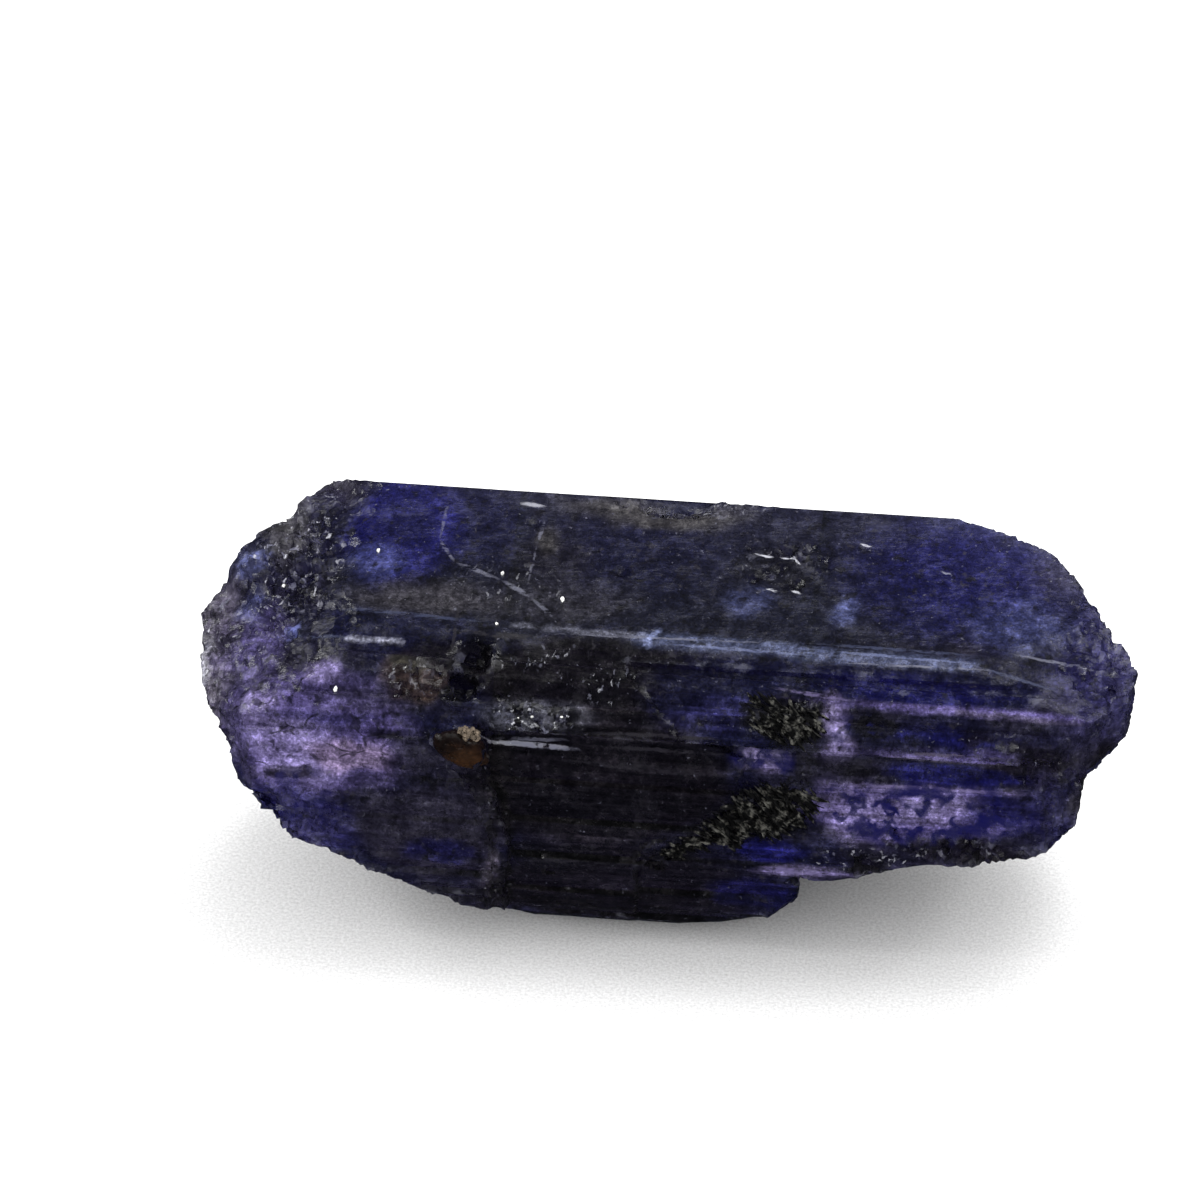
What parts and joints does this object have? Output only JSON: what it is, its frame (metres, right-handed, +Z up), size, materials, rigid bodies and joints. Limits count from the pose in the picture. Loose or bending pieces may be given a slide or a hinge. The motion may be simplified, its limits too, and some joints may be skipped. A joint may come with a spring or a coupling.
{
  "type": "rough tanzanite crystal",
  "caption": "Uncut blue-violet crystal: a blunt striated prism, broken at both ends, that lies on a small flat spot.",
  "frame": {"origin": "middle of the crystal's box in X and Y, at the level of the flat spot it rests on", "axes": "+X along the prism towards the pointed broken end, +Z up, -Y the striated front with the step and the graphite flakes"},
  "size_m": [0.0222, 0.009, 0.0085],
  "materials": {
    "tanzanite": "deep blue-violet see-through crystal, glossy on the striated faces, frosted on the breaks, with brown-black clouds and graphite"
  },
  "bodies": {
    "root": {"tanzanite_crystal": "tanzanite"}
  },
  "joints": []
}
